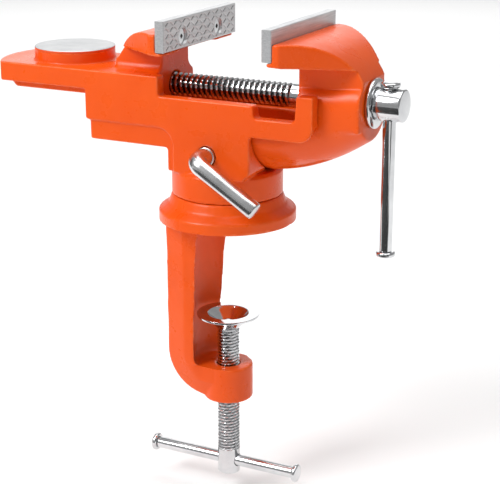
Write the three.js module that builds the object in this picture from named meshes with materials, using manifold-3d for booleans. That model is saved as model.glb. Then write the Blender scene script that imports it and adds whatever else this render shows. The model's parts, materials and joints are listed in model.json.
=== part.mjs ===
// Clamp-on swivel bench vise with an anvil. Millimetres, +Z up.
// Origin: centre of the flat underside of the swivel base. +X points to the spindle handle.
import * as THREE from 'three';
import { mergeVertices } from 'three/addons/utils/BufferGeometryUtils.js';
import { ParametricGeometry } from 'three/addons/geometries/ParametricGeometry.js';
import Module from 'manifold-3d';

const wasm = await Module();
wasm.setup();

// ---- driving dimensions -------------------------------------------------
const GAP = 0.3; // running clearance between two pieces
const BEAM_CLEARANCE = 0.5; // cast slideway round the beam

const BODY_HALF = 26; // half width of the fixed body
const BODY_LEFT = -69.9;
const BODY_TOP = 76.5; // deck and anvil plate
const WALL_TOP = 66.5; // top of the slide walls
const WALL_BOTTOM = 50.5;
const WALL_INNER = 19.2; // half width between the slide walls, above the rails
const RAIL_UNDERSIDE = 57.8; // the sliding beam is held down under this
const TROUGH_END = -30.1; // end wall of the trough, front face of the jaw web
const COLUMN_LEFT = -17.8;
const COLUMN_RIGHT = 25.6;
const EAR_RIGHT = 59.5;
const EAR_TOP = 73.3;
const BOX_HALF = 24.4; // stepped-in lower part of the body
const BOX_BOTTOM = 40;

const ANVIL_X = -92.2;
const ANVIL_R = 21.5;
const ANVIL_TOP = 83.8;
const ANVIL_PLATE_R = 40;
const ANVIL_PLATE_BOTTOM = 66.5;
const ANVIL_RIB_BOTTOM = 62.5;

const NECK_R = 29;
const FLARE_R = 31;
const NECK_TOP = 28.2;
const BASE_R = 36;
const BASE_RIM = 6;
const BASE_TOP = 14.1;
const POST_R = 14;
const POST_TOP = 21.9;

const JAW_HALF = 38; // half the jaw width
const PLATE_THICK = 5.15;
const PLATE_BOTTOM = 90.8;
const PLATE_TOP = 106.3;
const FIXED_FACE = -14.83; // working face of the fixed jaw plate
const MOVING_FACE = 38.19; // working face of the moving jaw plate, 53 mm open
const HOOD_TOP = 99.5;
const HOOD_R = 33.5; // the hood is an arc seen from the side
const HOOD_ARC_X = 6.6; // its centre, behind the back of the plate
const HOOD_TAPER = 0.75; // half width lost per millimetre away from the plate
const WEB_HALF = 14.1;
const PLATE_SCREW_Y = 18.6;
const PLATE_SCREW_Z = 96.6;
const PLATE_SCREW_DEPTH = 10.5; // tapped hole behind the plate

const SPINDLE_Z = 68.3;
const SPINDLE_R = 6; // Tr12 x 3
const BORE_R = 6.35;
const TAIL_LEFT = -40; // rear end of the sliding beam
const BARREL_REAR = 46.7;
const BARREL_FRONT = 80.4;
const BARREL_R = 18.6;
const WEB_BOTTOM = 56; // the barrel grows out of the beam below this height
const SPINDLE_TIP = -80;
const HEAD_R = 8.1;
const HEAD_END = 96.8;
const BAR_R = 3.25;
const BAR_CAP_R = 4.9;
const BAR_CAP_LENGTH = 3.3;
const SPINDLE_BAR_X = 89;
const SPINDLE_BAR_LENGTH = 88.7;

const CLAMP_SCREW_R = 6; // M12
const CLAMP_BAR_Z = -140.2;
const CLAMP_BAR_LENGTH = 90.5;
const CLAMP_BAR_SHIFT = -2.55;
const BOSS_R = 13.2;
const BOSS_TOP = -82.4;
const BOSS_BOTTOM = -101.6;
const ARM_OUTER = -31.4;
const ARM_LEAN = 2.4; // the back of the arm stands this much further in at the top
const ARM_BOTTOM = -100.3;
const ARM_BEND_R = 24;
const ARM_TAPER = 0.043; // half width lost per millimetre below the flange
const ARM_ROOT_TAPER = 0.0875; // faster near the flange, where the arm is widest
const THROAT_R = 19.7; // the arm is hollowed round the screw axis
const THROAT_FILLET = 4;
const PAD_TOP = -53.8;

const LEVER_X = 1.4;
const LEVER_Z = 38.25;
const LEVER_Y = -38.4; // plane the lever arm lies in
const LEVER_R = 4.55;
const LEVER_LENGTH = 40.2;
const LEVER_DROP = THREE.MathUtils.degToRad(32);

// ---- small kit of shapes ------------------------------------------------
function solid(geometry) {
  const bare = geometry.clone();
  bare.deleteAttribute('normal');
  bare.deleteAttribute('uv');
  const merged = mergeVertices(bare, 1e-4);
  const p = merged.attributes.position.array;
  const index = merged.index.array;
  const triangles = [];
  let volume = 0;
  for (let i = 0; i < index.length; i += 3) {
    const a = index[i];
    const b = index[i + 1];
    const c = index[i + 2];
    if (a === b || b === c || a === c) continue;
    triangles.push([a, b, c]);
    const va = new THREE.Vector3().fromArray(p, 3 * a);
    const vb = new THREE.Vector3().fromArray(p, 3 * b);
    const vc = new THREE.Vector3().fromArray(p, 3 * c);
    volume += va.dot(vb.cross(vc));
  }
  const wound = triangles.map(([a, b, c]) => (volume < 0 ? [a, c, b] : [a, b, c]));
  return new wasm.Manifold(new wasm.Mesh({
    numProp: 3,
    vertProperties: new Float32Array(p),
    triVerts: new Uint32Array(wound.flat()),
  }));
}

const box = (x0, x1, y0, y1, z0, z1) => solid(
  new THREE.BoxGeometry(x1 - x0, y1 - y0, z1 - z0)
    .translate((x0 + x1) / 2, (y0 + y1) / 2, (z0 + z1) / 2),
);

const extrude = (points, depth, bevel) => new THREE.ExtrudeGeometry(
  new THREE.Shape(points.map(([x, y]) => new THREE.Vector2(x, y))),
  { depth, bevelEnabled: false, curveSegments: 24, ...bevel },
);

// outline in X and Z, thickness centred on Y
const slabY = (points, half) => solid(
  extrude(points, 2 * half).rotateX(Math.PI / 2).translate(0, half, 0),
);

// outline in X and Y, between two heights
const slabZ = (points, z0, z1) => solid(extrude(points, z1 - z0).translate(0, 0, z0));

// outline in Y and Z, between two stations along X
function slabX(points, x0, x1) {
  const turn = new THREE.Matrix4().makeBasis(
    new THREE.Vector3(0, 1, 0),
    new THREE.Vector3(0, 0, 1),
    new THREE.Vector3(1, 0, 0),
  );
  return solid(extrude(points, x1 - x0).applyMatrix4(turn).translate(x0, 0, 0));
}

const lathe = (profile, sides) => new THREE.LatheGeometry(
  profile.map(([r, h]) => new THREE.Vector2(r, h)),
  sides,
);
const turnedZ = (profile, x = 0, y = 0, sides = 32) => solid(
  lathe(profile, sides).rotateX(Math.PI / 2).translate(x, y, 0),
);
const turnedX = (profile, y = 0, z = 0, sides = 32) => solid(
  lathe(profile, sides).rotateZ(-Math.PI / 2).translate(0, y, z),
);
const turnedY = (profile, x = 0, z = 0, sides = 32) => solid(
  lathe(profile, sides).translate(x, 0, z),
);
const rod = (r, h0, h1) => [[0, h0], [r, h0], [r, h1], [0, h1]];
const rodX = (r, x0, x1, y, z, sides = 32) => turnedX(rod(r, x0, x1), y, z, sides);
const rodY = (r, y0, y1, x, z, sides = 32) => turnedY(rod(r, y0, y1), x, z, sides);
const rodZ = (r, z0, z1, x, y, sides = 32) => turnedZ(rod(r, z0, z1), x, y, sides);

function arc(cx, cy, r, fromDeg, toDeg, steps) {
  const points = [];
  for (let i = 0; i <= steps; i += 1) {
    const a = THREE.MathUtils.degToRad(fromDeg + ((toDeg - fromDeg) * i) / steps);
    points.push([cx + r * Math.cos(a), cy + r * Math.sin(a)]);
  }
  return points;
}

// outline made symmetrical about its first or its second coordinate
const mirrored = (points) => [
  ...points,
  ...points.map(([x, y]) => [x, -y]).reverse(),
];
const bothSides = (points) => [
  ...points,
  ...points.map(([y, z]) => [-y, z]).reverse(),
];

const mix = (a, b, t) => a + (b - a) * t;
const smooth = (x, a, b) => THREE.MathUtils.smoothstep(x, a, b);

// closed skin over a row of rings, each a list of points in space
function skin(rings) {
  const count = rings[0].length;
  const rows = rings.length + 1;
  const centre = (ring) => ring
    .reduce((sum, q) => sum.add(q), new THREE.Vector3())
    .divideScalar(count);
  const point = (u, v, target) => {
    const row = Math.round(v * rows);
    if (row === 0) {
      target.copy(centre(rings[0]));
    } else if (row === rows) {
      target.copy(centre(rings[rings.length - 1]));
    } else {
      target.copy(rings[row - 1][Math.round(u * count) % count]);
    }
  };
  return solid(new ParametricGeometry(point, count, rows));
}

// skin over (y, z) outlines taken at even stations along X
function loft(ringAt, x0, x1, steps) {
  const rings = [];
  for (let i = 0; i <= steps; i += 1) {
    const x = mix(x0, x1, i / steps);
    rings.push(ringAt(x).map(([y, z]) => new THREE.Vector3(x, y, z)));
  }
  return skin(rings);
}

// ---- the boat-shaped sliding beam ---------------------------------------
function beamShape(x) {
  const t = THREE.MathUtils.clamp((x - COLUMN_RIGHT) / (BARREL_FRONT - COLUMN_RIGHT), 0, 1);
  return {
    half: mix(22.1, BARREL_R, smooth(x, 42, 56)),
    shoulder: mix(48.3, SPINDLE_Z, t * t * (1.6 - 0.6 * t)),
    keel: 28.8 + 20.9 * (0.12 * t + 0.88 * t * t),
    fall: mix(1.7, 2, t * t),
    swell: mix(1.2, 2, t * t),
  };
}

// lower half of the beam from one shoulder round the keel to the other
function beamUnderside(x, clearance, steps) {
  const s = beamShape(x);
  const points = [];
  for (let i = 0; i <= steps; i += 1) {
    const a = (Math.PI * i) / steps;
    const depth = Math.sin(a) ** (2 / s.fall);
    const across = Math.max(0, 1 - depth ** s.fall) ** (1 / s.swell);
    const side = a < Math.PI / 2 ? -1 : 1;
    points.push([
      side * across * (s.half + clearance),
      s.shoulder - depth * (s.shoulder - s.keel) - clearance * depth,
    ]);
  }
  return points;
}

function beamRing(x) {
  const s = beamShape(x);
  const top = Math.max(RAIL_UNDERSIDE - GAP, s.shoulder + 0.5);
  return [[-s.half, top], ...beamUnderside(x, 0, 18), [s.half, top]];
}

// upper half of the barrel: flat sides, shoulders rolling in under the neck
function barrelRing(x) {
  const t = smooth(x, 60, BARREL_FRONT);
  const points = [[BARREL_R - 0.4, WEB_BOTTOM]];
  const base = mix(64.5, SPINDLE_Z, t);
  const rise = mix(14.5, 13, t);
  const power = mix(2.6, 2.2, t);
  for (let i = 0; i <= 18; i += 1) {
    const a = (Math.PI * i) / 18;
    const c = Math.cos(a);
    const y = Math.sign(c) * Math.abs(c) ** (2 / power) * BARREL_R;
    points.push([y, base + Math.sin(a) ** (2 / power) * rise]);
  }
  points.push([-BARREL_R + 0.4, WEB_BOTTOM]);
  return points;
}

// arc of the hood from a given height up to its crown, with the plate's back at x = 0
function hoodArc(height, steps) {
  const centreZ = HOOD_TOP - HOOD_R;
  const fromDeg = THREE.MathUtils.radToDeg(Math.asin((height - centreZ) / HOOD_R));
  return arc(HOOD_ARC_X, centreZ, HOOD_R, fromDeg, 90, steps);
}

// hood over the jaw plate, its back against x = 0 and growing along +X
function hood(undersideAtPlate, undersideAtTip) {
  const plan = mirrored([[0, JAW_HALF], [3.4, JAW_HALF], [42, JAW_HALF - HOOD_TAPER * 38.6]]);
  const side = [
    [0, undersideAtPlate],
    ...hoodArc(undersideAtTip, 16),
    [0, HOOD_TOP],
  ];
  return slabZ(plan, 60, 110).intersect(slabY(side, 40));
}

// narrower web that carries the hood, from the given front face back to the hood's arc
function hoodWeb(front, bottom) {
  return slabY([[0, bottom], ...hoodArc(bottom, 18), [0, HOOD_TOP]], WEB_HALF)
    .intersect(box(front, 60, -20, 20, 50, 110));
}

// ---- fixed body ---------------------------------------------------------
function fixedBody() {
  const sideWalls = slabY([
    [BODY_LEFT, WALL_BOTTOM],
    ...arc(COLUMN_LEFT - 9, WALL_BOTTOM - 9, 9, 90, 0, 8),
    [COLUMN_LEFT, 28],
    [21.5, 27.3],
    [COLUMN_RIGHT, 31.4],
    [COLUMN_RIGHT, WALL_BOTTOM],
    ...arc(EAR_RIGHT - 7.8, WALL_BOTTOM + 7.8, 7.8, -90, 0, 8),
    [EAR_RIGHT, EAR_TOP],
    [50.8, EAR_TOP],
    ...arc(48, 62.6, 2.2, 0, -90, 4),
    ...arc(29.9, 62.2, 2.2, -90, -180, 4),
    [27.5, WALL_TOP],
    [-26, WALL_TOP],
    [-26, BODY_TOP],
    [BODY_LEFT, BODY_TOP],
  ], BODY_HALF);

  const plateEnd = Math.asin(BODY_HALF / ANVIL_PLATE_R);
  const endDeg = THREE.MathUtils.radToDeg(plateEnd);
  const anvilPlate = slabZ([
    [-40, -BODY_HALF],
    [-40, BODY_HALF],
    ...arc(ANVIL_X, 0, ANVIL_PLATE_R, 180 - endDeg, 180 + endDeg, 20),
  ], ANVIL_PLATE_BOTTOM, BODY_TOP);
  const anvilRib = slabY([
    [-60, ANVIL_PLATE_BOTTOM + 1],
    [-121, ANVIL_PLATE_BOTTOM + 1],
    [-121, ANVIL_PLATE_BOTTOM],
    [-117.5, ANVIL_RIB_BOTTOM],
    [-60, ANVIL_RIB_BOTTOM],
  ], 20);
  const anvilDisc = turnedZ([
    [0, BODY_TOP - 1],
    [ANVIL_R, BODY_TOP - 1],
    [ANVIL_R, ANVIL_TOP - 0.6],
    [ANVIL_R - 0.6, ANVIL_TOP],
    [0, ANVIL_TOP],
  ], ANVIL_X, 0, 48);

  const lowerBox = box(-68.2, -17, -BOX_HALF, BOX_HALF, BOX_BOTTOM, WALL_BOTTOM + 1);
  const columnBack = box(-21.8, -17, -BOX_HALF, BOX_HALF, 28, WALL_BOTTOM);
  const neck = turnedZ([
    [0, BASE_TOP + GAP],
    [NECK_R, BASE_TOP + GAP],
    [NECK_R, NECK_TOP - 1.4],
    [NECK_R - 1.2, NECK_TOP],
    [0, NECK_TOP],
  ], 0, 0, 48);

  const backOfPlate = FIXED_FACE - PLATE_THICK - GAP;
  const jawHood = hood(89.2, 88.4).mirror([1, 0, 0]).translate([backOfPlate, 0, 0]);
  const ledge = box(backOfPlate - 1, FIXED_FACE - 1.5, -JAW_HALF, JAW_HALF, 88.9, PLATE_BOTTOM - GAP);
  const web = hoodWeb(backOfPlate - TROUGH_END, 76).mirror([1, 0, 0]).translate([backOfPlate, 0, 0]);
  const webFoot = slabX(bothSides([
    [WEB_HALF - 1, 82],
    [WEB_HALF, 82],
    ...arc(WEB_HALF + 5.2, 81.6, 5.2, 182, 262, 5),
    [WEB_HALF + 5, 76],
  ]), -62, TROUGH_END).intersect(slabZ(mirrored([
    [TROUGH_END, 20],
    [-48, 20],
    [-57, 15],
    [-61, 7],
  ]), 70, 90));

  const tunnelHalf = beamShape(COLUMN_RIGHT).half + BEAM_CLEARANCE;
  const tunnelRing = [
    [-tunnelHalf, RAIL_UNDERSIDE],
    ...beamUnderside(COLUMN_RIGHT, BEAM_CLEARANCE, 18),
    [tunnelHalf, RAIL_UNDERSIDE],
  ];
  const cuts = [
    box(TROUGH_END, 70, -WALL_INNER, WALL_INNER, RAIL_UNDERSIDE - 1, 90), // trough
    slabX(tunnelRing, -2, 70), // slideway of the beam
    box(TAIL_LEFT - 26, -1, -19.35, 19.35, 43.2, RAIL_UNDERSIDE), // slideway of its tail
    rodX(BORE_R, -70, TROUGH_END + 1, 0, SPINDLE_Z), // spindle bore
    box(-114.5, -69, -6.5, 6.5, 60, SPINDLE_Z), // groove for the spindle end
    rodX(6.5, -114.5, -69, 0, SPINDLE_Z),
    box(-56.3, -39.7, -9.1, 9.1, RAIL_UNDERSIDE - 1, 75.6), // nut pocket
    box(-56.3, -39.7, -18.5, 18.5, RAIL_UNDERSIDE - 1, 62.4),
    rodZ(POST_R + GAP, 0, POST_TOP + 0.4, 0, 0), // swivel post
    turnedZ([[0, 21], [4.3, 21], [4.3, 23.9], [8.3, 27.9], [8.3, 44], [0, 44]]), // its bolt
    rodY(5.3, -30, -22, LEVER_X, LEVER_Z), // lock lever screw
    turnedY([[0, -22.1], [5.3, -22.1], [1.5, -18.1], [0, -18.1]], LEVER_X, LEVER_Z),
    rodZ(3.3, 0, LEVER_Z, LEVER_X, -21.5, 32), // brake pin
  ];
  const farDeck = slabX([ // the deck stops short of the web on the far side
    [14.2, 84],
    [14.2, 79],
    [15, 77],
    [16.7, 75.4],
    [WALL_INNER, 73.5],
    [WALL_INNER, WALL_TOP],
    [30, WALL_TOP],
    [30, 84],
  ], -37, -20);
  cuts.push(farDeck);
  for (const y of [-13.4, 13.4]) {
    cuts.push(rodZ(2.8, 60, 72.5, -48, y, 24));
  }
  for (const y of [-PLATE_SCREW_Y, PLATE_SCREW_Y]) {
    cuts.push(rodX(2.3, backOfPlate - PLATE_SCREW_DEPTH, backOfPlate + 1, y, PLATE_SCREW_Z, 24));
  }

  let body = sideWalls;
  for (const piece of [anvilPlate, anvilRib, anvilDisc, lowerBox, columnBack, neck]) {
    body = body.add(piece);
  }
  body = body.add(jawHood).add(ledge).add(web).add(webFoot);
  for (const cut of cuts) {
    body = body.subtract(cut);
  }
  return body;
}

// ---- moving jaw ---------------------------------------------------------
function movingJaw() {
  const backOfPlate = MOVING_FACE + PLATE_THICK + GAP;
  const jawHood = hood(88.5, 86.1).translate([backOfPlate, 0, 0]);
  const ledge = box(MOVING_FACE + 2.1, backOfPlate + 1, -JAW_HALF, JAW_HALF, 88.5, PLATE_BOTTOM - GAP);
  const neck = hoodWeb(BARREL_REAR - backOfPlate, SPINDLE_Z - 2)
    .translate([backOfPlate, 0, 0])
    .intersect(box(0, BARREL_FRONT, -20, 20, 50, 110));
  const barrel = loft(barrelRing, BARREL_REAR, BARREL_FRONT, 8);
  const beam = loft(beamRing, COLUMN_RIGHT - 2.1, BARREL_FRONT, 14);
  const tail = box(TAIL_LEFT, COLUMN_RIGHT, -19, 19, 43.5, RAIL_UNDERSIDE - GAP);

  const core = slabY([
    [TAIL_LEFT - 2, 60],
    [TAIL_LEFT - 2, 47.2],
    [20, 47.2],
    [27, 39],
    [44, 42.5],
    [60, 48.5],
    [66, 53],
    [66, 57],
    [46, 57],
    [42, 60],
  ], 14.5);
  const cuts = [
    core,
    rodX(BORE_R, 40, 90, 0, SPINDLE_Z),
    rodZ(2.8, 55, SPINDLE_Z, 63.5, 0, 24),
  ];
  for (const y of [-PLATE_SCREW_Y, PLATE_SCREW_Y]) {
    cuts.push(rodX(2.3, backOfPlate - 1, backOfPlate + PLATE_SCREW_DEPTH, y, PLATE_SCREW_Z, 24));
  }
  let jaw = jawHood.add(ledge).add(neck).add(barrel).add(beam).add(tail);
  for (const cut of cuts) {
    jaw = jaw.subtract(cut);
  }
  return jaw;
}

// ---- clamp frame --------------------------------------------------------
function clampFrame() {
  const base = turnedZ([
    [0, 0],
    [BASE_R, 0],
    [BASE_R, BASE_RIM - 0.4],
    [BASE_R - 0.4, BASE_RIM],
    [FLARE_R, 9],
    [NECK_R, BASE_TOP],
    [POST_R, BASE_TOP],
    [POST_R, POST_TOP - 1],
    [POST_R - 1, POST_TOP],
    [0, POST_TOP],
  ], 0, 0, 48);

  const reach = 20;
  const bevel = 12.1;
  const armSide = [
    [reach, 12],
    [ARM_OUTER + ARM_LEAN, 12],
    ...arc(ARM_OUTER + ARM_BEND_R, ARM_BOTTOM + ARM_BEND_R, ARM_BEND_R, 180, 270, 10),
    [reach, ARM_BOTTOM],
  ];
  const slope = 3.6;
  const leaning = (half, taper) => solid(
    extrude(armSide, 2 * (half - slope), {
      bevelEnabled: true,
      bevelThickness: slope,
      bevelSize: bevel,
      bevelOffset: -bevel,
      bevelSegments: 1,
    })
      .rotateX(Math.PI / 2)
      .translate(0, half - slope, 0)
      .applyMatrix4(new THREE.Matrix4().makeShear(0, 0, 0, 0, 0, taper)),
  );
  const wedge = (half, taper) => leaning(half, taper).intersect(leaning(half, -taper));
  const root = wedge(18.8, ARM_ROOT_TAPER).intersect(box(-40, 6, -40, 40, -33, 2));
  const arm = wedge(17.9, ARM_TAPER).intersect(box(-40, 6, -40, 40, -120, 2)).add(root);
  const boss = rodZ(BOSS_R, BOSS_BOTTOM, BOSS_TOP, 0, 0, 40);
  const throat = turnedZ([
    [0, BOSS_TOP],
    ...arc(THROAT_R - THROAT_FILLET, BOSS_TOP + THROAT_FILLET, THROAT_FILLET, -90, 0, 5),
    [THROAT_R, 1],
    [0, 1],
  ], 0, 0, 48);
  const beyond = box(-6.2, 60, -40, 40, BOSS_TOP, 1);

  return arm
    .subtract(throat)
    .subtract(beyond)
    .add(boss)
    .add(base)
    .subtract(rodZ(CLAMP_SCREW_R + GAP, -110, -70, 0, 0))
    .subtract(rodZ(4.3, 3, POST_TOP + 1, 0, 0, 24));
}

// ---- turned parts -------------------------------------------------------
const jawPlate = (face, back) => {
  const left = Math.min(face, back);
  const right = Math.max(face, back);
  let plate = box(left, right, -JAW_HALF, JAW_HALF, PLATE_BOTTOM, PLATE_TOP);
  const inward = Math.sign(back - face);
  for (const y of [-PLATE_SCREW_Y, PLATE_SCREW_Y]) {
    plate = plate.subtract(turnedX([
      [0, face - inward],
      [4.3, face - inward],
      [4.3, face + inward * 0.8],
      [2.3, face + inward * 2.8],
      [2.3, back + inward],
      [0, back + inward],
    ], y, PLATE_SCREW_Z, 20));
  }
  return plate;
};

// countersunk screw whose head faces `face` and whose shank runs to `tip`
const plateScrew = (face, inward, y) => {
  const at = (d) => face + inward * d;
  const driven = turnedX([
    [0, at(1)],
    [3.8, at(1)],
    [3.8, at(1.2)],
    [2, at(3)],
    [2, at(PLATE_THICK + PLATE_SCREW_DEPTH - 1.4)],
    [0, at(PLATE_THICK + PLATE_SCREW_DEPTH - 0.6)],
  ], y, PLATE_SCREW_Z, 20);
  return driven.subtract(rodX(1.3, Math.min(at(0), at(2)), Math.max(at(0), at(2)), y, PLATE_SCREW_Z, 6));
};

const spindle = () => turnedX([
  [0, SPINDLE_TIP],
  [4.6, SPINDLE_TIP],
  [SPINDLE_R, SPINDLE_TIP + 1.4],
  [SPINDLE_R, 37.5],
  [5.85, 38.2],
  [5.85, 61.5],
  [4.6, 61.5],
  [4.6, 65.5],
  [5.85, 65.5],
  [5.85, 83],
  [HEAD_R, 83],
  [HEAD_R, HEAD_END - 0.8],
  [HEAD_R - 0.8, HEAD_END],
  [0, HEAD_END],
], 0, SPINDLE_Z, 36).subtract(
  rodZ(BAR_R + GAP, SPINDLE_Z - 12, SPINDLE_Z + 12, SPINDLE_BAR_X, 0, 24),
);

const thrustWasher = () => turnedX([
  [5.85 + GAP, BARREL_FRONT + GAP],
  [12.4, BARREL_FRONT + GAP],
  [12.4, 82.7],
  [5.85 + GAP, 82.7],
  [5.85 + GAP, BARREL_FRONT + GAP],
], 0, SPINDLE_Z, 36);

const retainingScrew = () => turnedZ([
  [0, 57.2],
  [2.5, 57.2],
  [2.5, 61.2],
  [1.7, 62],
  [1.7, 63.4],
  [0, 63.4],
], 63.5, 0, 16).subtract(rodZ(1.2, 56, 59, 63.5, 0, 6));

function spindleNut() {
  return box(-56, -40, -8.8, 8.8, 58.1, 75.3)
    .add(box(-56, -40, -18.2, 18.2, 58.1, 62.1))
    .subtract(rodX(SPINDLE_R + GAP, -60, -36, 0, SPINDLE_Z))
    .subtract(nutScrewShape(-13.4, GAP, 56))
    .subtract(nutScrewShape(13.4, GAP, 56));
}

const nutScrewShape = (y, grow, bottom) => turnedZ([
  [0, bottom],
  [4.1 + grow, bottom],
  [4.1 + grow, 58.6],
  [2.5 + grow, 60.6],
  [2.5 + grow, 71 + grow],
  [0, 71 + grow],
], -48, y, 16);
const nutScrew = (y) => nutScrewShape(y, 0, 58.2).subtract(rodZ(1.6, 57, 60, -48, y, 6));

// a bar end cap is upset over the reduced end of the bar
const CAP_SEAT_R = 2.2;
const barProfile = (length) => {
  const end = length / 2;
  const seat = end - BAR_CAP_LENGTH;
  return [
    [0, -end + 1],
    [CAP_SEAT_R, -end + 1],
    [CAP_SEAT_R, -seat],
    [BAR_R, -seat],
    [BAR_R, seat],
    [CAP_SEAT_R, seat],
    [CAP_SEAT_R, end - 1],
    [0, end - 1],
  ];
};
const capProfile = (length, side) => {
  const at = (d) => side * (length / 2 - d);
  return [
    [0, at(0)],
    [BAR_CAP_R - 0.9, at(0)],
    [BAR_CAP_R, at(0.8)],
    [BAR_CAP_R, at(2.2)],
    [BAR_CAP_R - 0.9, at(BAR_CAP_LENGTH - GAP)],
    [CAP_SEAT_R + GAP, at(BAR_CAP_LENGTH - GAP)],
    [CAP_SEAT_R + GAP, at(1 - GAP)],
    [0, at(1 - GAP)],
  ];
};

const clampScrew = () => turnedZ([
  [0, -147.4],
  [CLAMP_SCREW_R - 0.7, -147.4],
  [CLAMP_SCREW_R + 0.1, -146.6],
  [CLAMP_SCREW_R + 0.1, -133.2],
  [CLAMP_SCREW_R, -133],
  [CLAMP_SCREW_R, -62.9],
  [CLAMP_SCREW_R - 0.8, -62.1],
  [3.2, -62.1],
  [3.2, -59.8],
  [4.4, -59.4],
  [4.4, -58.6],
  [3, -57.8],
  [0, -57.6],
], 0, 0, 32).subtract(
  rodX(BAR_R + GAP, -12, 12, 0, CLAMP_BAR_Z, 24),
);

// flared cup that turns on the screw's neck, held by the neck's riveted end
const clampPad = () => turnedZ([
  [3.6, -61.8],
  [6.3, -61.8],
  [8.2, -60],
  [10.5, -57.6],
  [12.4, -56],
  [16.9, -54.9],
  [16.9, PAD_TOP],
  [11.1, PAD_TOP],
  [10.2, -55],
  [5.2, -59.9],
  [3.6, -60.1],
  [3.6, -61.8],
], 0, 0, 40);

const swivelBolt = () => turnedZ([
  [0, 4],
  [3.4, 4],
  [4, 4.8],
  [4, 23.8],
  [7.9, 27.7],
  [7.9, 28],
  [0, 28],
], 0, 0, 28).subtract(rodZ(2.6, 25.4, 29, 0, 0, 6));

function brakePin() {
  const slopeStart = -22.2;
  const low = LEVER_Z - 5 - GAP;
  const side = [
    [-26, BASE_TOP + GAP],
    [-26, low],
    [slopeStart, low],
    [-18, low + (-18 - slopeStart)],
    [-18, BASE_TOP + GAP],
  ];
  return rodZ(3, BASE_TOP + GAP, 40, LEVER_X, -21.5, 32)
    .intersect(slabX(side, LEVER_X - 5, LEVER_X + 5));
}

// bent rod: the stem comes out of the body along -Y, then turns into the arm
function lockLever() {
  const bend = LEVER_R + 0.6;
  const ringAt = (x, y, turn, r) => {
    const ring = [];
    for (let i = 0; i < 24; i += 1) {
      const a = (2 * Math.PI * i) / 24;
      ring.push(new THREE.Vector3(
        x + r * Math.cos(a) * Math.cos(turn),
        y + r * Math.cos(a) * Math.sin(turn),
        r * Math.sin(a),
      ));
    }
    return ring;
  };
  const rings = [ringAt(0, -27, 0, LEVER_R)];
  for (let i = 0; i <= 8; i += 1) {
    const turn = (Math.PI / 2) * (i / 8);
    const x = bend - bend * Math.cos(turn);
    const y = LEVER_Y + bend - bend * Math.sin(turn);
    rings.push(ringAt(x, y, turn, LEVER_R));
  }
  rings.push(ringAt(LEVER_LENGTH - 0.9, LEVER_Y, Math.PI / 2, LEVER_R));
  rings.push(ringAt(LEVER_LENGTH, LEVER_Y, Math.PI / 2, LEVER_R - 0.9));
  const screw = turnedY([
    [0, -28],
    [4.2, -28],
    [5, -27.2],
    [5, -22.3],
    [1.2, -18.5],
    [0, -18.5],
  ]);
  return skin(rings)
    .add(screw)
    .rotate([0, THREE.MathUtils.radToDeg(LEVER_DROP), 0])
    .translate([LEVER_X, 0, LEVER_Z]);
}

// ---- the assembly -------------------------------------------------------
const PAINT = { color: 0xf26322, metalness: 0, roughness: 0.42 };
const STEEL = { color: 0xb9bbbd, metalness: 0.9, roughness: 0.35 };
const CHROME = { color: 0xd8dadc, metalness: 1, roughness: 0.15 };
const BLACK = { color: 0x3a3b3d, metalness: 0.6, roughness: 0.5 };
const BRONZE = { color: 0xa9793f, metalness: 0.9, roughness: 0.4 };

const vise = new THREE.Group();
vise.name = 'bench_vise';

function place(name, shape, look) {
  const mesh = shape.getMesh();
  const geometry = new THREE.BufferGeometry();
  geometry.setAttribute('position', new THREE.BufferAttribute(mesh.vertProperties, 3));
  geometry.setIndex(new THREE.BufferAttribute(mesh.triVerts, 1));
  geometry.computeVertexNormals();
  const piece = new THREE.Mesh(geometry, new THREE.MeshStandardMaterial(look));
  piece.name = name;
  vise.add(piece);
}

place('clamp_frame', clampFrame(), PAINT);
place('swivel_bolt', swivelBolt(), BLACK);
place('clamp_screw', clampScrew(), CHROME);
place('clamp_pad', clampPad(), CHROME);

const clampBarAt = [CLAMP_BAR_SHIFT, 0, CLAMP_BAR_Z];
const clampBarShape = (profile) => turnedX(profile, 0, 0, 24).translate(clampBarAt);
place('clamp_bar', clampBarShape(barProfile(CLAMP_BAR_LENGTH)), CHROME);
place('clamp_bar_cap_left', clampBarShape(capProfile(CLAMP_BAR_LENGTH, -1)), CHROME);
place('clamp_bar_cap_right', clampBarShape(capProfile(CLAMP_BAR_LENGTH, 1)), CHROME);

place('fixed_body', fixedBody(), PAINT);
place('brake_pin', brakePin(), BLACK);
place('lock_lever', lockLever(), CHROME);
place('spindle_nut', spindleNut(), BRONZE);
place('nut_screw_1', nutScrew(-13.4), BLACK);
place('nut_screw_2', nutScrew(13.4), BLACK);

const FIXED_BACK = FIXED_FACE - PLATE_THICK;
const MOVING_BACK = MOVING_FACE + PLATE_THICK;
place('fixed_jaw_plate', jawPlate(FIXED_FACE, FIXED_BACK), STEEL);
place('moving_jaw', movingJaw(), PAINT);
place('moving_jaw_plate', jawPlate(MOVING_FACE, MOVING_BACK), STEEL);
[-PLATE_SCREW_Y, PLATE_SCREW_Y].forEach((y, i) => {
  place(`fixed_jaw_screw_${i + 1}`, plateScrew(FIXED_FACE, -1, y), CHROME);
  place(`moving_jaw_screw_${i + 1}`, plateScrew(MOVING_FACE, 1, y), CHROME);
});

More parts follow.
